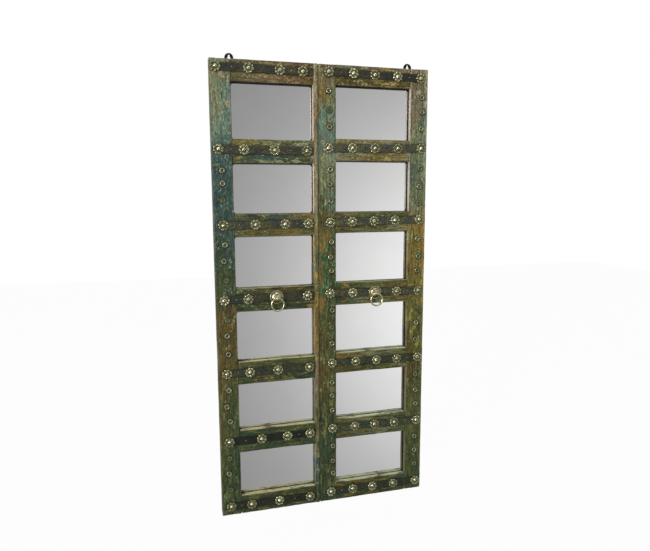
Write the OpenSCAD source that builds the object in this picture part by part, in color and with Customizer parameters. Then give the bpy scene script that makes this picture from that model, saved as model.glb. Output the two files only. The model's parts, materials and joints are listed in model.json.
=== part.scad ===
// Wall mirror made from a pair of old glazed door leaves.
// Two mortised leaves stand side by side. Each has six mirror panes, seven iron
// straps and brass flower rosettes, and one ring pull that swings on its eye.
// X runs to the right, Y runs back into the wall and Z runs up.
// The origin is the middle of the back, on the plane that lies against the wall.

/* [Leaves] */
// Height of both leaves
leaf_h = 1830; // [1600:10:2100]
// Width of the left leaf on its face, up to the seam
left_leaf_w = 420; // [380:1:560]
// Width of the right leaf on its face, from the seam
right_leaf_w = 470; // [420:1:600]
// Thickness of the timber
timber_t = 42; // [38:0.5:50]
// Width of the left leaf's outer stile
left_outer_w = 80; // [70:1:100]
// Width of the left leaf's meeting stile that shows on the face
left_meeting_w = 20; // [18:1:40]
// Width of the right leaf's meeting stile on the face
right_meeting_w = 73; // [66:1:95]
// Width of the right leaf's outer stile
right_outer_w = 77; // [66:1:100]
// How far the left meeting stile laps behind the right one
lap_w = 24; // [18:1:26]
// How far the rounded nosing of the left meeting stile stands proud
nosing_proud = 4; // [2:0.5:8]

/* [Rails] */
// Heights of the left leaf's rails, from the top
left_rails = [82, 91, 89, 94, 94, 95, 80]; // [74:1:110]
// Heights of the right leaf's rails, from the top
right_rails = [79, 87, 84, 94, 87, 89, 78]; // [74:1:110]
// How the left leaf's openings share its free height, from the top
left_shares = [212, 195, 207, 205, 196, 190]; // [150:1:260]
// How the right leaf's openings share its free height, from the top
right_shares = [206, 205, 209, 206, 205, 201]; // [150:1:260]
// Thickness of the rails' tenons
tenon_t = 12; // [8:0.5:14]
// Length of the tenons in the outer stiles
outer_tenon = 48; // [30:1:56]
// Length of the tenons in the meeting stiles
meeting_tenon = 14; // [10:1:16]
// Shoulder left above and below each tenon
tenon_shoulder = 15; // [12:1:20]
// Distance from the face of the timber to the front of the tenons
tenon_set = 9; // [8:0.5:12]

/* [Glazing] */
// Distance from the face of the timber to the front of the glass
glass_set = 26; // [24:0.5:28]
// Thickness of the mirror glass
glass_t = 4; // [3:0.5:6]
// Width of the glass rebate round each opening
rebate_w = 9; // [7:0.5:12]
// Depth of a glazing bead, front to back
bead_t = 9; // [5:0.5:10]
// Slope cut off each glazing bead's inner edge
bead_slope = 3; // [1:0.5:5]

/* [Iron straps] */
// Height of a strap
strap_h = 30; // [24:1:36]
// Thickness of a strap
strap_t = 3; // [2:0.5:5]
// Cut corners at a strap's ends
strap_corner = 4; // [1:0.5:8]
// How far a strap runs on past its outermost rosettes
strap_lead = 15; // [12:1:18]
// Gap between a left strap and the raised nosing beside it
strap_end_gap = 1; // [0.5:0.5:5]
// How far each left strap lies below its rail's middle, from the top
left_strap_drop = [-9, -5, -2, -5, -2, -3, 4]; // [-15:1:15]
// How far each right strap lies below its rail's middle, from the top
right_strap_drop = [-7, -8, -3, -2, -1, -4, -1]; // [-15:1:15]
// Turn of each left strap, in degrees
left_strap_tilt = [-0.7, -0.3, 0.3, 0.5, 0.2, 0, -0.8]; // [-2:0.1:2]
// Turn of each right strap, in degrees
right_strap_tilt = [-1.2, 0.7, 1.1, -0.9, -0.6, -0.7, -0.4]; // [-2:0.1:2]

/* [Rosettes] */
// Number of petals on a rosette
petals = 8; // [6:1:10]
// Radius of a rosette over its petals
rosette_r = 20.5; // [17:0.5:23]
// Radius of a rosette's domed centre
rosette_dome_r = 9.5; // [8:0.5:11]
// Height of a rosette's domed centre above the strap
rosette_dome_h = 8; // [6:0.5:9]
// Height of the petals above the strap
petal_h = 4.5; // [3:0.5:6]
// Radius of one petal, seen from the front
petal_r = 6.5; // [5.5:0.25:7.5]
// Thickness of a rosette at its rim
rosette_rim_t = 1; // [0.5:0.25:1.5]
// Thickness of a rosette in the groove round its dome
rosette_groove_t = 1.5; // [1:0.25:2]
// Turn from one rosette to the next, in degrees
rosette_turn = 17; // [0:1:44]
// Distance of each left strap's first rosette from the leaf's outer edge
left_first = [23, 27, 37, 33, 35, 37, 38]; // [22:1:45]
// Distance of each left strap's last rosette from the meeting stile
left_last = [41, 28, 23, 30, 23, 23, 25]; // [22:1:50]
// Places of the two middle rosettes between the first and the last
left_middle = [[0.37, 0.73], [0.28, 0.63], [0.37, 0.72], [0.28, 0.62],
               [0.27, 0.61], [0.39, 0.71], [0.25, 0.60]]; // [0.2:0.01:0.8]
// Distance of each right strap's first rosette from the seam
right_first = [44, 42, 49, 47, 54, 56, 49]; // [40:1:60]
// Distance of each right strap's last rosette from the leaf's outer edge
right_last = [34, 27, 29, 29, 26, 26, 26]; // [22:1:40]
// Places of the three middle rosettes between the first and the last
right_middle = [[0.26, 0.49, 0.74], [0.25, 0.49, 0.74], [0.24, 0.48, 0.72], [0.25, 0.50, 0.75],
                [0.27, 0.51, 0.75], [0.26, 0.49, 0.73], [0.25, 0.48, 0.73]]; // [0.2:0.01:0.8]

/* [Cup studs] */
// Radius of a cup stud
stud_r = 11.5; // [9.5:0.5:12.5]
// Radius of the hollow middle of a cup stud
stud_hollow_r = 5; // [3.5:0.25:5.5]
// Height of the round rim of a cup stud
stud_rim_h = 3; // [2:0.25:3.25]
// Radius of the nail head in a cup stud
stud_nail_r = 2.75; // [2:0.25:3]
// Height of that nail head above the timber
stud_nail_h = 2.25; // [1.5:0.25:3]
// Thickness of the floor of a cup stud
stud_floor_t = 1.25; // [0.75:0.25:1.5]
// Distance of the left studs from the outer edge of the left leaf
left_stud_x = 40; // [30:1:50]
// Distance of the middle studs from the seam
middle_stud_x = 53; // [45:1:55]
// Distance of the right studs from the outer edge of the right leaf
right_stud_x = 31; // [25:1:45]
// Places of the left studs down each opening, from the second one
left_studs = [[0.15, 0.40, 0.72], [0.15, 0.46, 0.83], [0.15, 0.46, 0.83],
              [0.11, 0.46, 0.78], [0.11, 0.46, 0.83]]; // [0.1:0.01:0.9]
// Places of the middle studs down each opening, from the first one
middle_studs = [[0.11, 0.47, 0.78], [0.17, 0.45, 0.78], [0.18, 0.48, 0.75], [0.10, 0.45, 0.79],
                [0.19, 0.48, 0.79], [0.15, 0.49, 0.77]]; // [0.1:0.01:0.9]
// Places of the right studs down each opening, from the first one
right_studs = [[0.16, 0.44, 0.77], [0.13, 0.50, 0.84], [0.16, 0.52, 0.81], [0.15, 0.47, 0.83],
               [0.18, 0.53, 0.84], [0.16, 0.48, 0.81]]; // [0.1:0.01:0.9]
// How far each left stud sits to the right of its line
left_sway = [[-1, -1, -2], [2, -4, 3], [4, 0, 3], [1, -9, 3], [-3, -7, -3]]; // [-10:1:10]
// How far each middle stud sits to the right of its line
middle_sway = [[-9, -7, -6], [-3, -5, -1], [1, -3, 1], [3, 1, 2], [2, 2, 2], [6, 5, 6]]; // [-10:1:8]
// How far each right stud sits to the right of its line
right_sway = [[6, 7, 4], [3, 0, -1], [-4, 1, -4], [-4, -3, -5], [-2, 0, 2], [-1, 0, 1]]; // [-10:1:10]

/* [Ring pulls] */
// Row of the ring pulls, counted from the top
pull_row = 4; // [2:1:6]
// Place of the left ring pull along its strap
left_pull_spot = 3; // [2:1:3]
// Place of the right ring pull along its strap
right_pull_spot = 3; // [2:1:4]
// Radius of the rose's flat rim
rose_r = 27.5; // [26:0.5:34]
// Radius of the rose's dome
rose_dome_r = 21.5; // [18:0.5:24]
// Height of the rose's dome above its rim
rose_dome_h = 9; // [6:0.5:10]
// Thickness of the rose's metal
rose_t = 2.5; // [2:0.25:3]
// Middle radius of the ring
ring_r = 25; // [22:0.5:32]
// Thickness of the ring's wire
ring_wire = 7; // [4:0.25:7.5]
// Thickness of the eye's wire
eye_wire = 4; // [3:0.25:5]
// Gap all round the ring's wire in the eye
ring_gap = 0.4; // [0.3:0.05:1]
// How far the left and the right rose sit above the middle of their straps
pull_lift = [2.5, -2]; // [-6:0.5:6]
// How far the eye droops below the middle of the rose
eye_droop = 3; // [1:0.5:5]
// Radius of the eye's spike
eye_spike_r = 2.25; // [1.5:0.25:2.5]
// How far the eye's spike goes into the rail
eye_spike_l = 28; // [20:1:32]
// Radius of the collar that holds the rose down
eye_collar_r = 5.5; // [4:0.25:7]
// Thickness of that collar over the crown of the rose
eye_collar_t = 1.5; // [1:0.25:3]

/* [Hangers] */
// Width of a hanger plate
hanger_w = 34; // [32:1:40]
// Thickness of a hanger plate
hanger_t = 3; // [2:0.5:4]
// How far a hanger stands up above the leaves
hanger_rise = 28; // [26:1:40]
// How far a hanger reaches down the back
hanger_drop = 54; // [48:1:60]
// Radius of the keyhole's entry hole
keyhole_r = 6; // [5:0.5:8]
// Height of the entry hole's middle above the leaves
keyhole_z = 10; // [9:0.5:12]
// Width of the keyhole's slot
slot_w = 6; // [5:0.5:7]
// Height of the middle of the slot's end above the leaves
slot_z = 19; // [18:0.5:21]
// Distance of a hanger screw from the middle of its plate
screw_x = 12; // [12:0.25:13]
// Distances of the hanger screws below the top of the leaves
screw_z = [14, 42]; // [12:1:44]

/* [Screws] */
// Radius of a hanger screw's shank
screw_r = 1.75; // [1.5:0.25:2]
// Radius of a hanger screw's head
screw_head_r = 3.5; // [3:0.25:3.75]
// Length of a hanger screw
screw_l = 18; // [12:1:19]
// Radius of a seam screw's shank
seam_screw_r = 2.5; // [2:0.25:3]
// Radius of a seam screw's head
seam_head_r = 5; // [4:0.25:6]
// Length of a seam screw
seam_screw_l = 34; // [28:1:36]
// Number of rails from one seam screw to the next
seam_screw_step = 2; // [1:1:3]

/* [Fits] */
// Gap between a tenon and its mortise
mortise_gap = 0.2; // [0.1:0.05:0.5]
// Gap between the two meeting stiles
seam_gap = 0.3; // [0.2:0.05:1]
// Gap round a mirror pane in its rebates
glass_gap = 0.3; // [0.2:0.05:0.6]
// Gap round a screw, a spike or a hanger plate
screw_gap = 0.1; // [0.05:0.05:0.3]
// Gap at the ends of a glazing bead
bead_gap = 0.2; // [0.1:0.05:0.5]

/* [Hidden] */
RAILS = 7;
PANES = 6;
SIDES = ["left", "right"];
$fn = 48;
cut = 1;

face_y = -timber_t;
glass_y = face_y + glass_set;
strap_y = face_y - strap_t;
bead_y = glass_y + glass_t;
tenon_y = face_y + tenon_set;
lap_y = face_y + timber_t / 2;

total_w = left_leaf_w + right_leaf_w;
left_x = -total_w / 2;
seam_x = left_x + left_leaf_w;
right_x = total_w / 2;
top_z = leaf_h / 2;

// Everything that differs between the leaves, for side 0 on the left and 1 on the right
open_x0 = [left_x + left_outer_w, seam_x + right_meeting_w];
open_x1 = [seam_x - left_meeting_w, right_x - right_outer_w];
rails = [left_rails, right_rails];
shares = [left_shares, right_shares];
first_x = [[for (d = left_first) left_x + d], [for (d = right_first) seam_x + d]];
last_x = [[for (d = left_last) open_x1[0] - d], [for (d = right_last) right_x - d]];
middle = [left_middle, right_middle];
strap_drop = [left_strap_drop, right_strap_drop];
strap_tilt = [left_strap_tilt, right_strap_tilt];
pull_spot = [left_pull_spot, right_pull_spot];
tenon_l = [[outer_tenon, meeting_tenon], [meeting_tenon, outer_tenon]];
hanger_x = [open_x0[0], open_x1[1]];

function sum(v, n) = n <= 0 ? 0 : v[n - 1] + sum(v, n - 1);
function open_h(s, i) = (leaf_h - sum(rails[s], RAILS)) * shares[s][i] / sum(shares[s], PANES);
function opens_above(s, n) = n <= 0 ? 0 : open_h(s, n - 1) + opens_above(s, n - 1);

// Heights of the tops of rail i and opening i of side s
function rail_top(s, i) = top_z - sum(rails[s], i) - opens_above(s, i);
function open_top(s, i) = rail_top(s, i) - rails[s][i];

// Places of the straps and of what sits on them
function strap_x(s, i) = (first_x[s][i] + last_x[s][i]) / 2;
function strap_z(s, i) = rail_top(s, i) - rails[s][i] / 2 - strap_drop[s][i];
function spots(s, i) = concat([0], middle[s][i], [1]);
function spot_x(s, i, k) = first_x[s][i] + spots(s, i)[k] * (last_x[s][i] - first_x[s][i]);
function is_pull(s, i, k) = i == pull_row - 1 && k == pull_spot[s] - 1;
function pull_x(s) = spot_x(s, pull_row - 1, pull_spot[s] - 1);
function pull_z(s) = strap_z(s, pull_row - 1) + pull_lift[s];

// The eye's loop stands on the crown of the dome, and its middle is the ring's hinge
eye_hole_r = ring_wire / 2 + ring_gap;
eye_r = eye_hole_r + eye_wire / 2;
crown_y = strap_y - rose_t - rose_dome_h;
hinge_y = crown_y - eye_r - eye_wire / 2;
function hinge_z(s) = pull_z(s) - eye_droop;

// Radius of an arc or a ball that rises by h over the half width w
function arc_r(w, h) = (w * w + h * h) / (2 * h);

module box(x0, x1, y0, y1, z0, z1) {
    translate([x0, y0, z0]) cube([x1 - x0, y1 - y0, z1 - z0]);
}

// A round bar along Y, from the front y0 to the back y1
module bar_y(x, z, r, y0, y1) {
    translate([x, y1, z]) rotate([90, 0, 0]) cylinder(r = r, h = y1 - y0);
}

// Stiles

module outer_blank(s) {
    outer = s == 0 ? left_x : right_x;
    inner = s == 0 ? open_x0[0] : open_x1[1];
    way = s == 0 ? 1 : -1;
    linear_extrude(leaf_h, center = true) polygon([
        [outer, face_y],
        [inner, face_y],
        [inner, glass_y],
        [inner - way * rebate_w, glass_y],
        [inner - way * rebate_w, 0],
        [outer, 0]
    ]);
}

module left_meeting_profile() {
    nosing_x = open_x1[0];
    nosing_r = arc_r(left_meeting_w / 2, nosing_proud);
    polygon([
        [nosing_x, face_y],
        [seam_x, face_y],
        [seam_x, lap_y],
        [seam_x + lap_w, lap_y],
        [seam_x + lap_w, 0],
        [nosing_x + rebate_w, 0],
        [nosing_x + rebate_w, glass_y],
        [nosing_x, glass_y]
    ]);
    // The nosing is one shallow round across the face
    intersection() {
        translate([(nosing_x + seam_x) / 2, face_y - nosing_proud + nosing_r])
            circle(r = nosing_r, $fn = 96);
        translate([nosing_x, face_y - nosing_proud]) square([left_meeting_w, nosing_proud + cut]);
    }
}

module right_meeting_blank() {
    inner = open_x0[1];
    linear_extrude(leaf_h, center = true) polygon([
        [seam_x + seam_gap, face_y],
        [inner, face_y],
        [inner, glass_y],
        [inner - rebate_w, glass_y],
        [inner - rebate_w, 0],
        [seam_x + lap_w + seam_gap, 0],
        [seam_x + lap_w + seam_gap, lap_y - seam_gap],
        [seam_x + seam_gap, lap_y - seam_gap]
    ]);
}

module left_outer_stile() {
    color("#6b7355") difference() {
        outer_blank(0);
        mortises(0);
        hanger_holes(0);
    }
}

module left_meeting_stile() {
    color("#7a6b45") difference() {
        linear_extrude(leaf_h, center = true) left_meeting_profile();
        mortises(0);
        seam_holes();
    }
}

module right_meeting_stile() {
    color("#51654c") difference() {
        right_meeting_blank();
        mortises(1);
        seam_holes();
    }
}

module right_outer_stile() {
    color("#6e6a48") difference() {
        outer_blank(1);
        mortises(1);
        hanger_holes(1);
    }
}

// Rails

module tenon(s, i, grow) {
    z1 = rail_top(s, i) - tenon_shoulder + grow;
    z0 = open_top(s, i) + tenon_shoulder - grow;
    box(open_x0[s] - tenon_l[s][0] - grow, open_x1[s] + tenon_l[s][1] + grow,
        tenon_y - grow, tenon_y + tenon_t + grow, z0, z1);
}

module mortises(s) {
    for (i = [0 : RAILS - 1]) tenon(s, i, mortise_gap);
}

module rail_blank(s, i) {
    z1 = rail_top(s, i);
    z0 = open_top(s, i);
    back_z1 = i == 0 ? z1 : z1 - rebate_w;
    back_z0 = i == RAILS - 1 ? z0 : z0 + rebate_w;
    box(open_x0[s], open_x1[s], face_y, glass_y, z0, z1);
    box(open_x0[s] - rebate_w, open_x1[s] + rebate_w, glass_y, 0, back_z0, back_z1);
    tenon(s, i, 0);
}

module rail(s, i) {
    color("#667052") difference() {
        rail_blank(s, i);
        if (i == 0) hanger_holes(s);
        if (i == pull_row - 1) spike_hole(s);
    }
}

// Glass and beads

module pane(s, i) {
    color("#c9cdd2") box(open_x0[s] - rebate_w + glass_gap, open_x1[s] + rebate_w - glass_gap,
        glass_y, bead_y,
        open_top(s, i) - open_h(s, i) - rebate_w + glass_gap, open_top(s, i) + rebate_w - glass_gap);
}

// A bead's section in its own corner: u is across the rebate and v is front to back
module bead_profile() {
    polygon([
        [0, 0],
        [rebate_w, 0],
        [rebate_w, bead_t - bead_slope],
        [rebate_w - bead_slope, bead_t],
        [0, bead_t]
    ]);
}

module glazing_beads(s) {
    color("#b89a6a") for (i = [0 : PANES - 1]) beads(s, i);
}

// Beads above and below the pane run right across, and those at its sides fit between them
module beads(s, i) {
    x0 = open_x0[s] - rebate_w + bead_gap;
    x1 = open_x1[s] + rebate_w - bead_gap;
    z1 = open_top(s, i) + rebate_w;
    z0 = open_top(s, i) - open_h(s, i) - rebate_w;
    across = x1 - x0;
    down = z1 - z0 - 2 * rebate_w - 2 * bead_gap;
    middle_z = (z0 + z1) / 2;
    translate([x0, bead_y, z1]) rotate([0, 90, 0]) linear_extrude(across) bead_profile();
    translate([x1, bead_y, z0]) rotate([0, -90, 0]) linear_extrude(across) bead_profile();
    translate([x0 - bead_gap, bead_y, middle_z]) linear_extrude(down, center = true) bead_profile();
    translate([x1 + bead_gap, bead_y, middle_z]) mirror([1, 0, 0])
        linear_extrude(down, center = true) bead_profile();
}

// Straps

// A left strap runs on to the nosing, and a right one stops just past its last rosette
module strap(s, i) {
    x0 = first_x[s][i] - strap_lead;
    x1 = s == 0 ? open_x1[0] - strap_end_gap : last_x[s][i] + strap_lead;
    color("#2b2c2e") difference() {
        translate([strap_x(s, i), face_y, strap_z(s, i)]) rotate([90, 0, 0])
            rotate([0, 0, strap_tilt[s][i]]) linear_extrude(strap_t)
                strap_outline(x0 - strap_x(s, i), x1 - strap_x(s, i));
        if (i == pull_row - 1)
            bar_y(pull_x(s), pull_z(s), eye_spike_r + screw_gap, strap_y - cut, face_y + cut);
    }
}

module strap_outline(x0, x1) {
    c = strap_corner;
    h = strap_h / 2;
    polygon([
        [x0 + c, -h],
        [x1 - c, -h],
        [x1, c - h],
        [x1, h - c],
        [x1 - c, h],
        [x0 + c, h],
        [x0, h - c],
        [x0, c - h]
    ]);
}

// Rosettes

// The part of a ball that rises by h over a round base of radius r, on a rim of thickness base
module bulge(r, h, base) {
    intersection() {
        translate([0, 0, h - arc_r(r, h - base)]) sphere(r = arc_r(r, h - base));
        cylinder(r = r, h = h + cut);
    }
}

// A rosette on its back at the origin, facing up: a domed middle in a ring of cupped petals
module rosette() {
    cylinder(r = rosette_r - petal_r, h = rosette_groove_t);
    bulge(rosette_dome_r, rosette_dome_h, rosette_rim_t);
    for (k = [0 : petals - 1]) rotate(360 * k / petals)
        translate([rosette_r - petal_r, 0, 0]) bulge(petal_r, petal_h, rosette_rim_t);
}

module rosettes(s) {
    color("#b29a4e") for (i = [0 : RAILS - 1])
        translate([strap_x(s, i), strap_y, strap_z(s, i)])
            rotate([90, 0, 0]) rotate([0, 0, strap_tilt[s][i]])
                for (k = [0 : len(spots(s, i)) - 1])
                    if (!is_pull(s, i, k))
                        translate([spot_x(s, i, k) - strap_x(s, i), 0, 0])
                            rotate([0, 0, rosette_turn * (2 * k + i)]) rosette();
}

// Cup studs

// A cup stud on its back at the origin, facing up
module cup_stud() {
    half_w = (stud_r - stud_hollow_r) / 2;
    round_r = arc_r(half_w, stud_rim_h);
    rotate_extrude() {
        intersection() {
            translate([stud_r - half_w, stud_rim_h - round_r]) circle(r = round_r, $fn = 24);
            translate([stud_hollow_r, 0]) square([2 * half_w, stud_rim_h + cut]);
        }
        square([stud_r - half_w, stud_floor_t]);
        square([stud_nail_r, stud_nail_h]);
    }
}

// Studs in rows down a stile, from one opening on, each with its place down and its sway
module studs_down(s, x, rows, sway, from) {
    for (i = [0 : len(rows) - 1], k = [0 : len(rows[i]) - 1])
        translate([x + sway[i][k], face_y, open_top(s, from + i) - rows[i][k] * open_h(s, from + i)])
            rotate([90, 0, 0]) cup_stud();
}

module cup_studs() {
    color("#b8a873") {
        studs_down(0, left_x + left_stud_x, left_studs, left_sway, PANES - len(left_studs));
        studs_down(1, seam_x + middle_stud_x, middle_studs, middle_sway, 0);
        studs_down(1, right_x - right_stud_x, right_studs, right_sway, 0);
    }
}

// Ring pulls

// The rose is a dome of sheet brass on a flat rim, hollow behind
module pull_rose(s) {
    outer = arc_r(rose_dome_r, rose_dome_h);
    color("#b29a4e") translate([pull_x(s), strap_y, pull_z(s)]) rotate([90, 0, 0]) difference() {
        union() {
            cylinder(r = rose_r, h = rose_t, $fn = 96);
            intersection() {
                translate([0, 0, rose_t + rose_dome_h - outer]) sphere(r = outer, $fn = 96);
                cylinder(r = rose_dome_r, h = rose_t + rose_dome_h + cut, $fn = 96);
            }
        }
        intersection() {
            translate([0, 0, rose_t + rose_dome_h - outer]) sphere(r = outer - rose_t, $fn = 96);
            translate([0, 0, -cut]) cylinder(r = rose_dome_r, h = rose_t + rose_dome_h + cut, $fn = 96);
        }
        cylinder(r = eye_spike_r + screw_gap, h = rose_t + rose_dome_h + cut);
    }
}

// The eye is a loop across the ring, with a spike through the rose into the rail
module pull_eye(s) {
    color("#a58c45") {
        translate([pull_x(s), hinge_y, hinge_z(s)]) rotate([0, 90, 0])
            rotate_extrude() translate([eye_r, 0]) circle(r = eye_wire / 2, $fn = 32);
        bar_y(pull_x(s), pull_z(s), eye_spike_r, crown_y - eye_collar_t, face_y + eye_spike_l);
        bar_y(pull_x(s), pull_z(s), eye_collar_r, crown_y - eye_collar_t, crown_y);
    }
}

module pull_ring(s) {
    color("#bda45a") translate([pull_x(s), hinge_y, hinge_z(s) - ring_r]) rotate([90, 0, 0])
        rotate_extrude($fn = 96) translate([ring_r, 0]) circle(r = ring_wire / 2, $fn = 32);
}

// Hangers and screws

module hanger_outline(grow) {
    r = hanger_w / 2 + grow;
    translate([0, hanger_rise - hanger_w / 2]) circle(r = r, $fn = 96);
    translate([-r, -hanger_drop - grow]) square([2 * r, hanger_drop + grow + hanger_rise - hanger_w / 2]);
}

module hanger_places(s) {
    for (x = [-screw_x, screw_x], z = screw_z)
        translate([hanger_x[s] + x, 0, top_z - z]) children();
}

module hanger(s) {
    color("#1b1b1b") difference() {
        translate([hanger_x[s], 0, top_z]) rotate([90, 0, 0]) difference() {
            linear_extrude(hanger_t) hanger_outline(0);
            translate([0, keyhole_z, -cut]) cylinder(r = keyhole_r, h = hanger_t + 2 * cut);
            translate([0, slot_z, -cut]) cylinder(r = slot_w / 2, h = hanger_t + 2 * cut);
            translate([-slot_w / 2, keyhole_z, -cut])
                cube([slot_w, slot_z - keyhole_z, hanger_t + 2 * cut]);
        }
        hanger_places(s) screw(screw_r + screw_gap, screw_head_r + screw_gap, screw_l);
    }
}

// Where the hangers lie flush in the backs of the leaves
module hanger_housing(s) {
    translate([hanger_x[s], cut, top_z]) rotate([90, 0, 0])
        linear_extrude(hanger_t + cut) hanger_outline(screw_gap);
}

// A countersunk screw at the origin, driven forward from the back
module screw(r, head_r, l) {
    rotate([90, 0, 0]) {
        cylinder(r = r, h = l);
        cylinder(r1 = head_r, r2 = r, h = head_r - r);
    }
}

module hanger_screws() {
    color("#3a3a3a") for (s = [0, 1]) hanger_places(s) screw(screw_r, screw_head_r, screw_l);
}

// The seam screws go through the lap, level with rails of the right leaf
module seam_places() {
    for (i = [0 : seam_screw_step : RAILS - 1])
        translate([seam_x + lap_w / 2, 0, rail_top(1, i) - rails[1][i] / 2]) children();
}

module seam_screws() {
    color("#3a3a3a") seam_places() screw(seam_screw_r, seam_head_r, seam_screw_l);
}

// Holes that the timber needs, cut a little larger than what goes in them

module spike_hole(s) {
    bar_y(pull_x(s), pull_z(s), eye_spike_r + screw_gap, face_y - cut, face_y + eye_spike_l + screw_gap);
}

module hanger_holes(s) {
    hanger_housing(s);
    hanger_places(s) screw(screw_r + screw_gap, screw_head_r + screw_gap, screw_l + screw_gap);
}

module seam_holes() {
    seam_places() screw(seam_screw_r + screw_gap, seam_head_r + screw_gap, seam_screw_l + screw_gap);
}

left_outer_stile();
left_meeting_stile();
right_meeting_stile();
right_outer_stile();
for (s = [0, 1], i = [0 : RAILS - 1]) {
    rail(s, i);
    strap(s, i);
}
for (s = [0, 1], i = [0 : PANES - 1])
    pane(s, i);
for (s = [0, 1]) {
    glazing_beads(s);
    rosettes(s);
    pull_rose(s);
    pull_eye(s);
    pull_ring(s);
    hanger(s);
}
cup_studs();
hanger_screws();
seam_screws();
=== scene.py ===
"""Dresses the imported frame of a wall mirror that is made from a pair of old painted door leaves.

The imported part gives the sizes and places. This script gives the looks: worn timber under thin old
paint, forged straps, cast rosettes of eight petals, cup studs, ring pulls and silvered glass.
Everything is in metres, in the part's own frame: X to the right, Y into the wall, Z up.
"""

import json
import math

import bmesh
import bpy
import numpy as np
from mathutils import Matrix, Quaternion, Vector

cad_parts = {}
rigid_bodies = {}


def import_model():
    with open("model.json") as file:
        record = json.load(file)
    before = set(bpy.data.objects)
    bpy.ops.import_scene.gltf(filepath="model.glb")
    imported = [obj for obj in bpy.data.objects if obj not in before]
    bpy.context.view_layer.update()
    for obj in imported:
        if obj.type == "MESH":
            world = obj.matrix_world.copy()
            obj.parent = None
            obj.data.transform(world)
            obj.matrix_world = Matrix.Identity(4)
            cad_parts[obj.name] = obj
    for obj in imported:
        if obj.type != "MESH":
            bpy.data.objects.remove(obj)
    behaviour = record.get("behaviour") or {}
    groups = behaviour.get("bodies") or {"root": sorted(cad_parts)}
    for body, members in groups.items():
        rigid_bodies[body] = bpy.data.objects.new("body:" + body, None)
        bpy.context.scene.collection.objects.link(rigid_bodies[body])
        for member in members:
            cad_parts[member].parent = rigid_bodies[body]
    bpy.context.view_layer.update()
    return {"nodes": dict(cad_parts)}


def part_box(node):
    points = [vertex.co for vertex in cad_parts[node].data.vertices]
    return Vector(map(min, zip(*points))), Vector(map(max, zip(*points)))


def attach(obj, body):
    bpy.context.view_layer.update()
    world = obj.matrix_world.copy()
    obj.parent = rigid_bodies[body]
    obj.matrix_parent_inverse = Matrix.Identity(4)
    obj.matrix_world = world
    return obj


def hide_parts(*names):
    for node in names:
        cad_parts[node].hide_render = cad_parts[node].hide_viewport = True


MM = 0.001
LEAVES = "leaves"

for leftover in list(bpy.data.objects):
    bpy.data.objects.remove(leftover)
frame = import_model()
BOTTOM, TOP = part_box("left_outer_stile")[0].z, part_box("left_outer_stile")[1].z
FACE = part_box("left_outer_stile")[0].y
STRAP_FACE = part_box("left_strap_2")[0].y
GLASS_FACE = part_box("left_pane_1")[0].y
# The seam of the leaves, half way between the ends of their straps
SEAM = (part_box("left_strap_4")[1].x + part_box("right_strap_4")[0].x) / 2
# Points nearer than this are one point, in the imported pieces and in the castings
SAME_POINT, SAME_CAST_POINT = 0.005 * MM, 0.001 * MM
DEGREES = 180 / math.pi

# Node trees, written as arithmetic


def plug(tree, socket, value):
    """Links a Flow to a socket, or sets a plain value on it."""
    if isinstance(value, Flow):
        tree.links.new(value.socket, socket)
    else:
        socket.default_value = value


def put(tree, kind, inputs=(), output=0, **settings):
    """Adds one node, with its settings and inputs, and returns one of its outputs as a Flow."""
    node = tree.nodes.new(kind)
    for name, value in settings.items():
        setattr(node, name, value)
    for name, value in dict(inputs).items():
        plug(tree, node.inputs[name], value)
    return Flow(tree, node.outputs[output])


class Flow:
    """A value on its way through a node tree, on which plain arithmetic can be done."""

    def __init__(self, tree, socket):
        self.tree, self.socket = tree, socket

    def math(self, operation, *others, first=None):
        """One sum of a Math node. Where a first term is given, this value is the second."""
        values = [self, *others] if first is None else [first, self]
        return put(self.tree, "ShaderNodeMath", dict(enumerate(values)), operation=operation)

    def __add__(self, other):
        return self.math("ADD", other)

    def __sub__(self, other):
        return self.math("SUBTRACT", other)

    def __rsub__(self, other):
        return self.math("SUBTRACT", first=other)

    def __mul__(self, other):
        return self.math("MULTIPLY", other)

    def __rmul__(self, other):
        return self.math("MULTIPLY", other)

    def __truediv__(self, other):
        return self.math("DIVIDE", other)

    def most(self, other):
        """The larger of the two."""
        return self.math("MAXIMUM", other)

    def least(self, other):
        """The smaller of the two."""
        return self.math("MINIMUM", other)

    def split(self):
        """The three parts of a vector."""
        return [put(self.tree, "ShaderNodeSeparateXYZ", {0: self}, part) for part in range(3)]

    def step(self, low, high, bottom=0.0, top=1.0):
        """Rises softly from bottom to top as this value goes from low to high."""
        ends = {"From Min": low, "From Max": high, "To Min": bottom, "To Max": top}
        inputs = {"Value": self, **ends}
        return put(self.tree, "ShaderNodeMapRange", inputs, interpolation_type="SMOOTHSTEP")

    def noise(self, scale, detail=3.0, roughness=0.55):
        """Cloudy noise from 0 to 1, read at this place."""
        inputs = {"Vector": self, "Scale": scale, "Detail": detail, "Roughness": roughness}
        return put(self.tree, "ShaderNodeTexNoise", inputs)


def join(x, y, z):
    """A vector from its three parts."""
    tree = next(part.tree for part in (x, y, z) if isinstance(part, Flow))
    return put(tree, "ShaderNodeCombineXYZ", {0: x, 1: y, 2: z})


# The sockets of a Mix node: its share, its vectors, its colours, and the output of each kind
MIX_SHARE = 0
VECTOR_A, VECTOR_B, VECTOR_OUT = 4, 5, 1
COLOUR_A, COLOUR_B, COLOUR_OUT = 6, 7, 2


def mixed(tree, share, under, over, blend="MIX"):
    """A mix of two colours."""
    inputs = {MIX_SHARE: share, COLOUR_A: under, COLOUR_B: over}
    return put(tree, "ShaderNodeMix", inputs, COLOUR_OUT, data_type="RGBA", blend_type=blend)


def coat(under, over, share):
    """Lays one colour over another, by a share from 0 to 1."""
    return mixed(share.tree, share, under, over)


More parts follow.
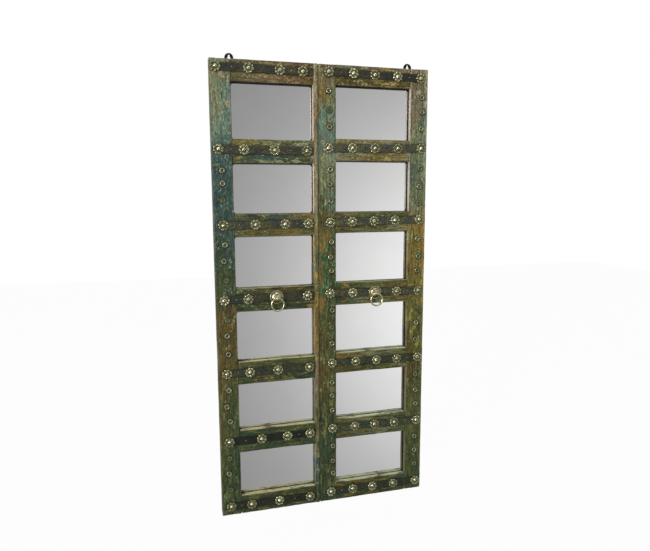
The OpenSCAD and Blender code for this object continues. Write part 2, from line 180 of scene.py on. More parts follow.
def shade(colour, amount):
    """Darkens or lightens a colour: an amount of 1 leaves it as it is."""
    return mixed(amount.tree, 1.0, colour, join(amount, amount, amount), "MULTIPLY")


def bands(along, stops):
    """A colour that changes along a length: stops are (place from 0 to 1, colour)."""
    node = along.tree.nodes.new("ShaderNodeValToRGB")
    ramp = node.color_ramp
    ramp.interpolation = "EASE"
    while len(ramp.elements) < len(stops):
        ramp.elements.new(0.5)
    for element, (place, colour) in zip(ramp.elements, sorted(stops, key=lambda stop: stop[0])):
        element.position, element.color = place, colour
    plug(along.tree, node.inputs[0], along)
    return Flow(along.tree, node.outputs[0])


# Finishes


def srgb(red, green, blue):
    """A colour as a paint card gives it, 0 to 255 in each channel, as a shader's linear colour."""
    parts = [part / 255 for part in (red, green, blue)]
    return (*(p / 12.92 if p <= 0.04045 else ((p + 0.055) / 1.055) ** 2.4 for p in parts), 1.0)


# The paints, from green to brown and pale, then dirt and painted shade, wood, iron and glass
SAGE = srgb(116, 126, 94)
MIST = srgb(90, 112, 94)
TEAL = srgb(50, 74, 66)
DEEP_BLUE = srgb(34, 58, 66)
OLIVE = srgb(80, 82, 40)
MOSS = srgb(63, 73, 36)
BOTTLE = srgb(50, 66, 40)
TAN = srgb(118, 104, 76)
STONE = srgb(104, 109, 76)
OCHRE = srgb(118, 99, 42)
RUSSET = srgb(112, 78, 40)
UMBER = srgb(82, 71, 27)
STRAW = srgb(136, 128, 94)
FERN = srgb(50, 78, 44)
LICHEN = srgb(104, 102, 40)
CREAM = srgb(206, 200, 156)
CHALK = srgb(208, 214, 178)
PINKISH = srgb(242, 224, 216)
DUST = srgb(158, 162, 132)
# Soot for dirt in cracks and at flake edges, also laid as painted shade in the openings and round
# the ironwork
SOOT_AND_SHADE = srgb(18, 20, 12)
GREY_WOOD = srgb(122, 104, 80)
DARK_WOOD = srgb(70, 54, 38)
BEAD_DARK = srgb(120, 92, 62)
BEAD_LIGHT = srgb(176, 142, 98)
SCALE_BELOW = srgb(42, 54, 42)
SCALE_ABOVE = srgb(52, 54, 46)
RUST = srgb(76, 71, 42)
GREEN_SMEAR = srgb(56, 67, 38)
RUBBED_IRON = srgb(104, 100, 78)
SILVER_PALE = srgb(239, 239, 238)
SILVER_HAZY = srgb(231, 231, 231)
# Dirt and painted shade along the edges of the glass
GLASS_DIRT_AND_SHADE = srgb(60, 62, 54)
GLASS_CUT = srgb(120, 150, 136)
BACKING_PALE = srgb(104, 106, 110)
BACKING_DARK = srgb(84, 84, 86)


def new_material(name):
    """An empty node material, with the tree, its main shader and the place on the piece."""
    material = bpy.data.materials.new(name)
    material.use_nodes = True
    tree = material.node_tree
    shader = tree.nodes["Principled BSDF"]
    place = put(tree, "ShaderNodeTexCoord", output="Object")
    return material, tree, shader, place


def attribute(tree, name):
    """A value that the mesh carries at each point."""
    return put(tree, "ShaderNodeAttribute", output="Fac", attribute_name=name)


def surface(tree, shader, colour, roughness, height=None, depth=0.0):
    """Gives a shader its colour and roughness, and a height from 0 to 1 as bump of that depth."""
    plug(tree, shader.inputs["Base Color"], colour)
    plug(tree, shader.inputs["Roughness"], roughness)
    if height is not None:
        bump = {"Height": height, "Strength": 1.0, "Distance": depth}
        plug(tree, shader.inputs["Normal"], put(tree, "ShaderNodeBump", bump))


# How much lighter or darker than the rest a stile is along its right-hand side
FAR_SIDES = {"right_meeting_stile": 0.75, "right_outer_stile": 1.5}
# How much pale paint, with a painted highlight on it, is left on a stile's cheek beside the glass,
# in the upper rows
PALE_LIT_CHEEKS = {"left_meeting_stile": 0.8, "right_outer_stile": 0.55}
# How much of the painted shade and dark joint beside the glass is left off a stile's cheek, in the
# lower rows
UNSHADED_CHEEKS = {"left_meeting_stile": 0.8}


class Grain:
    """The noises that the paint on a stick follows, from broad patches down to single fibres."""

    def __init__(self, along, across, inward):
        def noise(stretch, scale, detail, roughness):
            return join(along * stretch, across, inward).noise(scale, detail, roughness)

        self.broad = noise(0.5, 11, 3, 0.55)
        self.patchy = noise(0.4, 44, 5, 0.62)
        self.crumbs = noise(0.6, 150, 4, 0.66)
        self.streaks = noise(0.12, 140, 5, 0.62)
        self.fibres = noise(0.07, 620, 3, 0.6)


def flaked_coats(grain, coats, wear, where, sideways, far_side):
    """The top coats with the older one where they have flaked off, and the share that is gone.

    where is the place along the stick from 0 to 1, sideways the place across it from -1 to 1."""
    side = (sideways + (grain.patchy - 0.5) * 2.8 + (grain.broad - 0.5) * 2.2).step(-0.35, 0.35)
    top_coat = coat(bands(where, coats[0]), bands(where, coats[1]), side)
    older = bands(where + (grain.streaks - 0.5) * 0.2, coats[2])
    flake = grain.broad * 0.4 + grain.patchy * 0.8 + grain.crumbs * 0.3 + (wear - 0.5) * 0.4
    gone = flake.step(0.745, 0.79)
    rim = flake.step(0.725, 0.75) * (1.0 - flake.step(0.755, 0.79))
    blotches = grain.patchy * 0.45 + grain.crumbs * 0.55
    colour = coat(top_coat, older, gone)
    colour = shade(colour, blotches.step(0.37, 0.63, 0.55, 1.38))
    colour = shade(colour, grain.streaks.step(0.34, 0.66, 0.62, 1.36))
    colour = shade(colour, sideways.step(0.45, 0.95, 1.0, far_side))
    return coat(colour, SOOT_AND_SHADE, rim * 0.5), gone


def years_of_wear(colour, grain, gone, z, edge):
    """Dirt in the cracks, scratches along the grain, dust, and bare wood at the edges."""
    cracks = grain.crumbs * 0.4 + grain.streaks * 0.6
    colour = coat(colour, SOOT_AND_SHADE, cracks.step(0.42, 0.35, 0.0, 0.75))
    scratches = grain.streaks * 0.75 + grain.fibres * 0.45 + gone * 0.04
    scratched = scratches.step(0.71, 0.78, 0.0, 0.45)
    colour = coat(colour, TAN, scratched * z.step(-0.7, 0.3, 0.4, 1.0))
    dusty = (grain.crumbs * 0.75 + grain.patchy * 0.45 + z * 0.045).step(0.685, 0.745, 0.0, 0.5)
    colour = coat(colour, DUST, dusty)
    bare = (edge.step(0.15, 0.8) * grain.patchy.step(0.38, 0.58)).least(0.6)
    return coat(colour, coat(UMBER, TAN, grain.streaks.step(0.4, 0.65)), bare)


def round_the_glass(colour, node, grain, place, facing):
    """Inside the openings: pale sills and cheeks with painted highlights, painted shade in the depth
    and under the rails, and a dark joint at the glass.
    """
    x, y, z = place
    in_opening = y.step(FACE + 1 * MM, FACE + 2.5 * MM)
    joint = y.step(GLASS_FACE - 3 * MM, GLASS_FACE - 1.8 * MM)
    lower_rows = z.step(0.25, -0.1, 0.25, 1.0)
    upward = facing[2].step(0.6, 0.9)
    has_sill = 0.0 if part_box(node)[1].z > TOP - MM else 1.0
    # Sills, the faces that look up in the lower rows, get pale paint that is partly a painted
    # highlight of the light from above
    sill = upward * in_opening * lower_rows * has_sill
    sill_paint_and_highlight = coat(TAN, coat(CREAM, CHALK, x.step(-0.3, 0.3)), grain.patchy.step(0.36, 0.5))
    colour = coat(colour, sill_paint_and_highlight, sill * grain.streaks.step(0.3, 0.45, 0.45, 0.92))

    # Cheeks that face left are pale near the face: pale paint and a painted highlight from the lamp
    # on the left, fading towards the bottom
    cheek = (0.0 - facing[0]).step(0.5, 0.8) * y.step(FACE, FACE + 1.5 * MM)
    streaky = grain.streaks.step(0.3, 0.46, 0.5, 1.0)
    pale_lit_cheek = (1.0 - y.step(FACE + 14 * MM, FACE + 20 * MM)) * streaky
    pale_lit_cheek = pale_lit_cheek * z.step(0.1, 0.5, 0.14, 1.0) * PALE_LIT_CHEEKS.get(node, 0.0)
    colour = coat(colour, PINKISH, cheek * pale_lit_cheek)

    # Painted shade deeper in the opening, away from the sills, and a dark joint where the wood meets
    # the glass
    deep = y.step(FACE + 15 * MM, GLASS_FACE - 2 * MM) * (1.0 - upward)
    unshaded_cheek = cheek * lower_rows * UNSHADED_CHEEKS.get(node, 0.0)
    deep_shade_and_joint = (deep * 0.7 + joint).least(1.0) * (1.0 - unshaded_cheek)
    colour = coat(colour, SOOT_AND_SHADE, deep_shade_and_joint * in_opening * 0.88)
    # Painted shade on the undersides of the rails over the openings
    soffit = (0.0 - facing[2]).step(0.6, 0.9) * in_opening
    return coat(colour, SOOT_AND_SHADE, soffit * 0.8)


def painted_wood(node, coats, wear, seed):
    """Old paint in several coats on a stick of timber, flaked, scratched and stained.

    coats is three lists of (place from 0 to 1, colour) along the stick: one side of its face, the
    other side, and the older coat below both. wear is the share of the top coats that is gone.
    """
    material, tree, shader, place = new_material(node + "_paint")
    low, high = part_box(node)
    upright = "stile" in node
    x, y, z = place.split()
    along, across = (z, x) if upright else (x, z)
    start, end = (BOTTOM, TOP) if upright else (low.x, high.x)
    edge_a, edge_b = (low.x, high.x) if upright else (low.z, high.z)
    grain = Grain(along + seed * 1.37, across + seed * 0.61, y)
    drift = (grain.broad - 0.5) * 0.14 + (grain.patchy - 0.5) * 0.08
    where = (along - start) / (end - start) + drift
    sideways = (across - (edge_a + edge_b) / 2) / ((edge_b - edge_a) / 2)
    facing = put(tree, "ShaderNodeNewGeometry", output="Normal").split()

    colour, gone = flaked_coats(grain, coats, wear, where, sideways, FAR_SIDES.get(node, 1.0))
    colour = years_of_wear(colour, grain, gone, z, attribute(tree, "edge"))
    colour = round_the_glass(colour, node, grain, (x, y, z), facing)
    # Dirt and painted shade on the wood round the straps, rosettes and studs
    grime = attribute(tree, "grime") * grain.patchy.step(0.3, 0.6, 0.3, 0.8)
    colour = coat(colour, SOOT_AND_SHADE, grime)
    raw = coat(DARK_WOOD, GREY_WOOD, (grain.streaks * 0.7 + grain.patchy * 0.5).step(0.35, 0.8))
    raw = shade(raw, grain.fibres.step(0.3, 0.6, 0.6, 1.1))
    colour = coat(colour, raw, facing[1].step(0.5, 0.8))

    rough = (grain.streaks * 0.3 + gone * 0.1 + 0.5).least(0.9)
    height = grain.fibres * 0.35 + grain.streaks * 0.5 + grain.crumbs * 0.3 - gone * 0.3
    surface(tree, shader, colour, rough, height, 1.2 * MM)
    shader.inputs["Specular IOR Level"].default_value = 0.3
    return material


def bare_wood(name):
    """Sawn wood of the glazing beads, dulled with age."""
    material, tree, shader, place = new_material(name)
    x, y, z = place.split()
    year_rings = join(x * 0.5, y * 6, z * 0.5).noise(60, 4)
    fibres = join(x, y * 5, z).noise(260, 4, 0.65)
    colour = coat(BEAD_DARK, BEAD_LIGHT, year_rings.step(0.35, 0.65))
    colour = shade(colour, fibres.step(0.3, 0.7, 0.7, 1.15))
    surface(tree, shader, colour, fibres.step(0.2, 0.8, 0.55, 0.85), fibres, 0.4 * MM)
    return material


def strap_iron(name, tone):
    """Forged strap iron: dark scale, brown rust and smears of the door's green paint. tone makes
    a strap lighter or darker than the others."""
    material, tree, shader, place = new_material(name)
    x, y, z = place.split()
    cloud = place.noise(34, 5, 0.6)
    smear = join(x * 0.4, y, z).noise(95, 4)
    pits = place.noise(330, 4, 0.7)
    scale_marks = place.noise(130, 4, 0.65)
    rust = (cloud + (pits - 0.5) * 0.5).step(0.46, 0.6)
    scale = coat(SCALE_BELOW, SCALE_ABOVE, z.step(-0.6, 0.5))
    colour = coat(scale, RUST, rust)
    colour = coat(colour, GREEN_SMEAR, (smear - z * 0.08).step(0.49, 0.6, 0.0, 0.8))
    colour = shade(colour, pits.step(0.3, 0.7, 0.6, 1.35))
    colour = shade(colour, scale_marks.step(0.35, 0.65, 0.55 * tone, 1.35 * tone))
    edge = attribute(tree, "edge").step(0.15, 0.8)
    colour = coat(colour, RUBBED_IRON, edge * scale_marks.step(0.45, 0.65, 0.05, 0.6))
    rough = (pits * 0.25 + rust * 0.2 + 0.38).least(0.9)
    surface(tree, shader, colour, rough, pits * 0.6 + cloud, 0.9 * MM)
    shader.inputs["Metallic"].default_value = 0.25
    return material


def old_brass(name, bright, dull, dirt_and_shade, overpainted=2.0):
    """Cast metal: rubbed pale on what stands out, dull and dark in what lies deep, with painted
    shade on what faces down and to the right.
    Castings whose tarnish, from 0 to 1, is over the value of overpainted have the door's green
    paint on them: at 2 none has."""
    material, tree, shader, place = new_material(name)
    tarnish = attribute(tree, "tarnish")
    hollow = attribute(tree, "hollow")
    cloud = place.noise(110, 4, 0.6)
    grains = place.noise(700, 3, 0.6)
    facing = put(tree, "ShaderNodeNewGeometry", output="Normal").split()
    # Painted shade on the faces that look down and to the right, away from the key lamp
    shaded_side = (facing[0] * 0.45 - facing[2] * 0.8).most(0.0)
    worn = (hollow * 0.9 + (cloud - 0.5) * 1.7 + tarnish * 0.4 + 0.02).step(0.05, 0.85)
    # Patina in the hollows, together with that painted shade
    caked_and_shaded = hollow + shaded_side * 1.35 + (grains - 0.5) * 0.4 + (cloud - 0.5) * 1.6
    caked_and_shaded = caked_and_shaded.step(0.45, 0.85)
    colour = coat(coat(bright, dull, worn), dirt_and_shade, caked_and_shaded * 0.96)
    painted = tarnish.step(overpainted, overpainted + 0.05) * cloud.step(0.36, 0.5, 0.4, 0.9)
    colour = coat(colour, shade(MOSS, grains.step(0.3, 0.7, 0.7, 1.3)), painted)
    rough = (worn * 0.28 + grains * 0.1 + (caked_and_shaded + painted) * 0.25 + 0.13).least(0.9)
    surface(tree, shader, colour, rough, grains * 0.5 + cloud, 0.3 * MM)
    plug(tree, shader.inputs["Metallic"], (0.95 - worn * 0.45 - caked_and_shaded * 0.5 - painted).most(0.0))
    return material


def black_paint(name):
    """Black paint on the sheet steel of the hangers, scuffed here and there."""
    material, tree, shader, place = new_material(name)
    cloud = place.noise(90, 4)
    scuffs = place.noise(600, 3, 0.7)
    colour = coat(srgb(13, 13, 14), srgb(34, 33, 32), (cloud + scuffs * 0.4).step(0.66, 0.9))
    surface(tree, shader, colour, scuffs.step(0.2, 0.8, 0.5, 0.75), scuffs, 0.15 * MM)
    shader.inputs["Specular IOR Level"].default_value = 0.25
    return material


def steel(name):
    """Zinc-dull screw steel with fine marks."""
    material, tree, shader, place = new_material(name)
    marks = place.noise(900, 2)
    colour = coat(srgb(120, 120, 118), srgb(178, 178, 174), marks)
    surface(tree, shader, colour, marks.step(0.2, 0.8, 0.3, 0.5), marks, 0.1 * MM)
    shader.inputs["Metallic"].default_value = 0.95
    return material


def silvered_glass(name, low, high):
    """Mirror glass: clear silver in the opening from low to high, dimmed along its edges and in its
    corners by painted shade of the frame and by dirt, grey backing paint behind, green at the cut
    edges."""
    material, tree, shader, place = new_material(name)
    x, y, z = place.split()
    facing = put(tree, "ShaderNodeNewGeometry", output="Normal").split()[1]
    front = (0.0 - facing).step(0.5, 0.8)
    back = facing.step(0.5, 0.8)
    haze = place.noise(9, 4, 0.6)
    specks = place.noise(260, 2, 0.6)
    corner_r = 13 * MM
    # The painted shade reaches further below the upper rail than above the lower one
    more_above, less_below = 1.5 * MM, 1 * MM
    near_side = (x - low.x).least(high.x - x)
    near_rail = (high.z - more_above - z).least(z - low.z + less_below)
    into_x, into_z = (corner_r - near_side).most(0.0), (corner_r - near_rail).most(0.0)
    from_edge = corner_r - (into_x * into_x + into_z * into_z).math("SQRT")
    # A dark band along the frame and in the corners: painted shade of the frame, and dirt, ragged
    # with specks
    dirt_and_shade = (from_edge + (specks - 0.5) * 3 * MM).step(0.5 * MM, 3.5 * MM, 1.0, 0.0)
    silver = coat(SILVER_PALE, SILVER_HAZY, haze)
    silver = coat(silver, GLASS_DIRT_AND_SHADE, dirt_and_shade * 0.9)
    backing = coat(BACKING_PALE, BACKING_DARK, specks.step(0.4, 0.6))
    colour = coat(coat(GLASS_CUT, backing, back), silver, front)
    dust = (specks.step(0.55, 0.8, 0.0, 0.03) + haze * 0.02 + dirt_and_shade * 0.3) * front
    surface(tree, shader, colour, dust + (1.0 - front) * 0.5)
    plug(tree, shader.inputs["Metallic"], front)
    return material


# Shaping


def new_object(name, mesh):
    """Puts a mesh in the scene as an object at the origin."""
    thing = bpy.data.objects.new(name, mesh)
    bpy.context.scene.collection.objects.link(thing)
    return thing


def dress(mesh, finish):
    """Gives a mesh one finish and takes off any other."""
    mesh.materials.clear()
    mesh.materials.append(finish)


def welded(node):
    """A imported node's loose triangles, welded into skins to work on."""
    skin = bmesh.new()
    skin.from_mesh(frame["nodes"][node].data)
    bmesh.ops.remove_doubles(skin, verts=skin.verts, dist=SAME_POINT)
    return skin


def welded_copy(node, name):
    """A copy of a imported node's mesh in one skin."""
    mesh = frame["nodes"][node].data.copy()
    mesh.materials.clear()
    skin = welded(node)
    skin.to_mesh(mesh)
    skin.free()
    mesh.name = name
    return new_object(name, mesh)


def settled(thing, name):
    """The plain mesh that an object's modifiers make of it, as a new object in its place."""
    depsgraph = bpy.context.evaluated_depsgraph_get()
    mesh = bpy.data.meshes.new_from_object(
        thing.evaluated_get(depsgraph), preserve_all_data_layers=True, depsgraph=depsgraph
    )
    bpy.data.objects.remove(thing)
    mesh.name = name
    return new_object(name, mesh)


def new_tree(name, **labels):
    """An empty Geometry Nodes tree, and its inputs as Flows. labels lists them by their kind."""
    tree = bpy.data.node_groups.new(name, "GeometryNodeTree")
    inputs = {"Geometry": "Geometry"}
    inputs.update((label, kind) for kind, group in labels.items() for label in group)
    for label, kind in inputs.items():
        tree.interface.new_socket(label, in_out="INPUT", socket_type="NodeSocket" + kind)
    tree.interface.new_socket("Geometry", in_out="OUTPUT", socket_type="NodeSocketGeometry")
    entry = tree.nodes.new("NodeGroupInput")
    return tree, {label: Flow(tree, entry.outputs[label]) for label in inputs}


def close_tree(tree, geometry, material):
    """Ends a tree the way the export needs it: real geometry with its material set."""
    real = put(tree, "GeometryNodeRealizeInstances", {"Geometry": geometry})
    made = put(tree, "GeometryNodeSetMaterial", {"Geometry": real, "Material": material})
    leaving = tree.nodes.new("NodeGroupOutput")
    plug(tree, leaving.inputs["Geometry"], made)


def grow(thing, tree, **values):
    """Puts a Geometry Nodes tree on an object, with its inputs set."""
    modifier = thing.modifiers.new(tree.name, "NODES")
    modifier.node_group = tree
    for item in tree.interface.items_tree:
        name = item.name.replace(" ", "_")
        if item.in_out == "INPUT" and name in values:
            modifier[item.identifier] = values[name]


def keep(tree, geometry, name, value, domain="POINT"):
    """Stores a value at each point, or on each instance, for the finish to read."""
    inputs = {"Geometry": geometry, "Name": name, "Value": value}
    return put(tree, "GeometryNodeStoreNamedAttribute", inputs, data_type="FLOAT", domain=domain)


# How near to a joint a skin stays sharp, and how far from it the skin is softened in full
SHARP_TO, SOFT_FROM = 1 * MM, 5 * MM
# A point that softening moves this far counts as a fully worn edge
WORN_BY = 1.1 * MM


def worn_skin_tree():
    """Softens the edges of a skin unevenly, sinks shallow hollows in it and marks its edges, and the
    dirt and painted shade round the fittings. At the two places Tight from and Tight to along X it
    stays sharp, as two pieces meet there."""
    tree, ports = new_tree(
        "worn_skin",
        Int=["Softening"],
        Float=["Edge scale", "Hollow depth", "Dirt reach", "Tight from", "Tight to"],
        Vector=["Hollow scale", "Seed"],
        Object=["Dirt from"],
        Material=["Finish"],
    )
    here = put(tree, "GeometryNodeInputPosition")
    normal = put(tree, "GeometryNodeInputNormal")
    blur = {"Value": here, "Iterations": ports["Softening"]}
    soft = put(tree, "GeometryNodeBlurAttribute", blur, data_type="FLOAT_VECTOR")

    def vector(operation, *values, output=0):
        inputs = dict(enumerate(values))
        return put(tree, "ShaderNodeVectorMath", inputs, output, operation=operation)

    seeded = vector("ADD", here, ports["Seed"])
    along = here.split()[0]
    ends = [(along - ports[label]).math("ABSOLUTE") for label in ("Tight from", "Tight to")]
    from_joint = ends[0].least(ends[1])
    uneven = seeded.noise(ports["Edge scale"], 2).step(0.38, 0.62, 0.25, 1.0)
    uneven = uneven * from_joint.step(SHARP_TO, SOFT_FROM, 0.15, 1.0)
    moved = vector("DISTANCE", here, soft, output="Value") * from_joint.step(SHARP_TO, SOFT_FROM)
    between = {MIX_SHARE: uneven, VECTOR_A: here, VECTOR_B: soft}
    rounded = put(tree, "ShaderNodeMix", between, VECTOR_OUT, data_type="VECTOR")
    hollow = vector("MULTIPLY", seeded, ports["Hollow scale"]).noise(1.0, 3, 0.5)
    sink = 0.0 - hollow.step(0.42, 0.72) * ports["Hollow depth"]
    sunk = vector("MULTIPLY_ADD", normal, join(sink, sink, sink), rounded)
    placed = {"Geometry": ports["Geometry"], "Position": sunk}
    moved_skin = put(tree, "GeometryNodeSetPosition", placed)

    # Wood near the ironwork is marked for dirt and painted shade, fading with distance
    fittings = put(tree, "GeometryNodeObjectInfo", {"Object": ports["Dirt from"]}, "Geometry")
    near = put(tree, "GeometryNodeProximity", {0: fittings}, "Distance", target_element="FACES")
    grime = (near / ports["Dirt reach"]).step(0.0, 1.0, 1.0, 0.0)
    skin = keep(tree, moved_skin, "edge", (moved / WORN_BY).least(1.0))
    skin = keep(tree, skin, "grime", grime)
    smooth = put(tree, "GeometryNodeSetShadeSmooth", {"Geometry": skin})
    close_tree(tree, smooth, ports["Finish"])
    return tree


WORN_SKIN = worn_skin_tree()


def weathered(node, name, voxel, **wear):
    """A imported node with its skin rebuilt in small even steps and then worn."""
    thing = welded_copy(node, node + "_blank")
    skin = thing.modifiers.new("skin", "REMESH")
    skin.mode, skin.voxel_size = "VOXEL", voxel
    grow(thing, WORN_SKIN, Dirt_from=IRONWORK, **wear)
    return settled(thing, name)


def islands(node):
    """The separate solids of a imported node, each as an array of its points."""
    skin = welded(node)
    found, seen = [], set()
    for first in skin.verts:
        if first in seen:
            continue
        seen.add(first)
        waiting, group = [first], []
        while waiting:
            point = waiting.pop()
            group.append(point.co[:])
            for edge in point.link_edges:
                other = edge.other_vert(point)
                if other not in seen:
                    seen.add(other)
                    waiting.append(other)
        found.append(np.array(group))
    skin.free()
    return found


# Points that lie beyond this share of a casting's reach are the tips of its lobes
TIP_SHARE = 0.985


def seats(node, lobes=0):
    """Where each solid of a node sits: the middle of its foot, and how its lobes are turned."""
    places = []
    for points in islands(node):
        low, high = points.min(0), points.max(0)
        middle = Vector(((low[0] + high[0]) / 2, high[1], (low[2] + high[2]) / 2))
        turn = 0.0
        if lobes:
            flat = (points[:, 0] - middle.x) + 1j * (points[:, 2] - middle.z)
            tips = flat[np.abs(flat) > TIP_SHARE * np.abs(flat).max()]
            turn = float(np.angle(((tips / np.abs(tips)) ** lobes).sum())) / lobes
        places.append((middle, turn))
    return places


# The sockets of a Random Value node that hold a plain number
NUMBER_LOW, NUMBER_HIGH, NUMBER_OUT = 2, 3, 1


def scatter_tree():
    """Sets one casting on every seat, turned as its seat says, each a little off true."""
    tree, ports = new_tree(
        "fittings_on_seats",
        Int=["Seed"],
        Float=["Lean", "Dent scale", "Dent depth"],
        Object=["Casting"],
        Material=["Finish"],
    )
    casting = put(tree, "GeometryNodeObjectInfo", {"Object": ports["Casting"]}, "Geometry")
    named = "GeometryNodeInputNamedAttribute"
    turn = put(tree, named, {"Name": "turn"}, "Attribute", data_type="FLOAT")

    def chance(low, high, offset):
        """A number between low and high, another for each casting."""
        inputs = {NUMBER_LOW: low, NUMBER_HIGH: high, "Seed": ports["Seed"] + offset}
        return put(tree, "FunctionNodeRandomValue", inputs, NUMBER_OUT)

    lean_x = chance(-1.0, 1.0, 1) * ports["Lean"]
    lean_z = chance(-1.0, 1.0, 2) * ports["Lean"]
    rotation = join(lean_x, 0.0 - turn, lean_z)
    inputs = {"Points": ports["Geometry"], "Instance": casting, "Rotation": rotation}
    placed = put(tree, "GeometryNodeInstanceOnPoints", inputs)
    marked = keep(tree, placed, "tarnish", chance(0.0, 1.0, 3), "INSTANCE")
    real = put(tree, "GeometryNodeRealizeInstances", {"Geometry": marked})
    here = put(tree, "GeometryNodeInputPosition")
    dent = here.noise(ports["Dent scale"], 1).step(0.3, 0.7) * ports["Dent depth"]
    pushed = {"Geometry": real, "Offset": join(0.0, dent, 0.0)}
    dented = put(tree, "GeometryNodeSetPosition", pushed)
    close_tree(tree, dented, ports["Finish"])
    return tree


FITTINGS_ON_SEATS = scatter_tree()


def set_castings(name, casting, places, finish, lean, seed, dent=0.0, dent_scale=90.0):
    """One piece of equal castings, one on each seat. lean is how far they stand off true, in
    radians, and dent how deep their dents go."""
    mesh = bpy.data.meshes.new(name + "_seats")
    mesh.from_pydata([place for place, _ in places], [], [])
    turns = mesh.attributes.new("turn", "FLOAT", "POINT")
    turns.data.foreach_set("value", [turn for _, turn in places])
    thing = new_object(name + "_seats", mesh)
    values = {"Lean": lean, "Dent_scale": dent_scale, "Dent_depth": dent, "Seed": seed}
    grow(thing, FITTINGS_ON_SEATS, Casting=casting, Finish=finish, **values)
    return settled(thing, name)


def lathe(name, profile, columns, depth_of):
    """A turned or cast form about the -Y axis. profile is a list of rings, each a function of
    the angle that gives (radius, height above the seat). depth_of tells how deep a point lies."""
    points, depths, faces = [], [], []
    for ring in profile:
        for column in range(columns):
            angle = 2 * math.pi * column / columns
            radius, height = ring(angle)
            points.append((radius * math.cos(angle), -height, radius * math.sin(angle)))
            depths.append(depth_of(radius, height, angle))
    for ring in range(len(profile) - 1):
        for column in range(columns):
            beside = (column + 1) % columns
            a, b = ring * columns + column, ring * columns + beside
            faces.append((a, b, b + columns, a + columns))
    mesh = bpy.data.meshes.new(name)
    mesh.from_pydata(points, [], faces)
    marks = mesh.attributes.new("hollow", "FLOAT", "POINT")
    marks.data.foreach_set("value", depths)
    skin = bmesh.new()
    skin.from_mesh(mesh)
    bmesh.ops.remove_doubles(skin, verts=skin.verts, dist=SAME_CAST_POINT)
    bmesh.ops.holes_fill(skin, edges=skin.edges)
    bmesh.ops.recalc_face_normals(skin, faces=skin.faces)
    for face in skin.faces:
        face.smooth = True
    skin.to_mesh(mesh)
    skin.free()
    return new_object(name, mesh)


# The ironwork on the face, round which the wood gets dirt and painted shade


def ironwork_mesh():
    """One mesh of all straps, rosettes and studs."""
    mesh = bpy.data.meshes.new("ironwork")
    skin = bmesh.new()
    for node, thing in frame["nodes"].items():
        if "strap" in node or "rosettes" in node or "cup_studs" in node:
            skin.from_mesh(thing.data)
    skin.to_mesh(mesh)
    skin.free()
    return mesh


IRONWORK = new_object("ironwork", ironwork_mesh())

# The sticks: stiles and rails

# Coats of paint, as stops up a stile or along a rail: first those of the left side of a stile or
# the lower half of a rail, then of its other side, then the older coat
LEFT_STILE = (
    [(0, BOTTLE), (0.1, MOSS), (0.25, UMBER), (0.45, UMBER), (0.52, MOSS), (0.58, BOTTLE),
     (0.7, TEAL), (0.78, TEAL), (0.85, MIST), (0.9, SAGE), (1, SAGE)],
    [(0, BOTTLE), (0.15, BOTTLE), (0.3, MOSS), (0.38, UMBER), (0.47, UMBER), (0.55, BOTTLE),
     (0.63, TEAL), (0.8, TEAL), (0.87, MIST), (0.93, MIST), (1, STONE)],
    [(0, MOSS), (0.26, MOSS), (0.36, UMBER), (0.48, UMBER), (0.56, TEAL), (0.66, DEEP_BLUE),
     (0.78, DEEP_BLUE), (0.86, TEAL), (0.94, TAN), (1, TAN)],
)
NOSING = (
    [(0, BOTTLE), (0.1, TEAL), (0.2, OLIVE), (0.3, TAN), (0.45, OCHRE), (0.58, STONE),
     (0.7, STRAW), (0.93, STRAW)],
    [(0, BOTTLE), (0.2, OLIVE), (0.36, TAN), (0.5, OCHRE), (0.6, STONE), (0.75, STRAW),
     (0.9, STRAW)],
    [(0, MOSS), (0.12, STONE), (0.22, OLIVE), (0.32, TAN), (0.4, OCHRE), (0.64, OCHRE),
     (0.72, TAN), (1, TAN)],
)
MIDDLE_STILE = (
    [(0, BOTTLE), (0.2, BOTTLE), (0.28, UMBER), (0.38, UMBER), (0.5, OCHRE), (0.6, OCHRE),
     (0.68, UMBER), (0.74, STONE), (0.82, MIST), (0.88, MIST), (0.92, OCHRE), (1, TAN)],
    [(0, MOSS), (0.1, BOTTLE), (0.22, BOTTLE), (0.3, OLIVE), (0.4, MOSS), (0.55, MOSS),
     (0.64, OLIVE), (0.7, MIST), (0.78, SAGE), (0.86, MIST), (0.9, STONE), (1, TAN)],
    [(0, MOSS), (0.3, OLIVE), (0.46, MOSS), (0.55, FERN), (0.62, FERN), (0.7, MOSS),
     (0.79, STONE), (0.9, UMBER), (1, UMBER)],
)
RIGHT_STILE = (
    [(0, MOSS), (0.15, OLIVE), (0.35, UMBER), (0.5, LICHEN), (0.56, OCHRE), (0.63, OCHRE),
     (0.7, STONE), (0.82, STONE), (0.9, TAN), (0.97, TAN)],
    [(0, BOTTLE), (0.1, MOSS), (0.3, OLIVE), (0.42, OLIVE), (0.52, OCHRE), (0.63, OCHRE),
     (0.72, STONE), (0.84, SAGE), (1, STONE)],
    [(0, MOSS), (0.25, MOSS), (0.4, LICHEN), (0.6, LICHEN), (0.72, STONE), (0.8, TEAL),
     (0.88, TEAL), (1, TAN)],
)


def even(*colours):
    """Stops for colours spread evenly along a rail."""
    return [(number / (len(colours) - 1), colour) for number, colour in enumerate(colours)]


